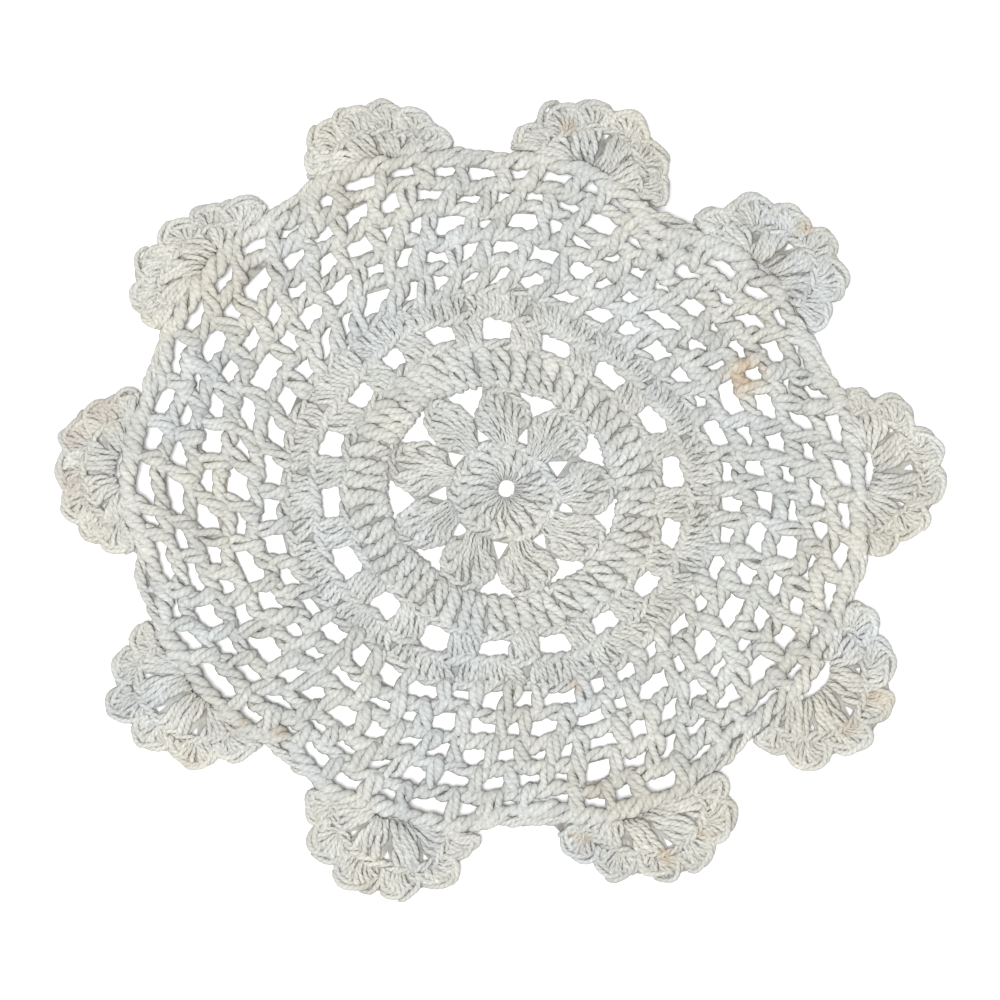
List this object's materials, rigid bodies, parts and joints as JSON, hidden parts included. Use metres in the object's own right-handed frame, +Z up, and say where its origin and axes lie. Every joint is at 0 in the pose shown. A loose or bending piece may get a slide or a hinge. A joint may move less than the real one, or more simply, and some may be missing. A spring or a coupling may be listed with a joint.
{
  "type": "lace doily",
  "caption": "Round crocheted cotton lace doily that lies flat as a table mat, with an open mesh body and a border of shell scallops.",
  "frame": {"origin": "bottom centre of the doily's box, on the surface that it lies on", "axes": "+Z up out of the doily's face; +X along its widest span; +Y along its narrower span, toward the side whose edge is drawn in and rolled"},
  "size_m": [0.2998, 0.269, 0.0071],
  "materials": {
    "cotton_yarn": "matte off-white cotton yarn, a little greyed, with faint tan stains"
  },
  "bodies": {
    "root": {"doily": "cotton_yarn"}
  },
  "joints": []
}
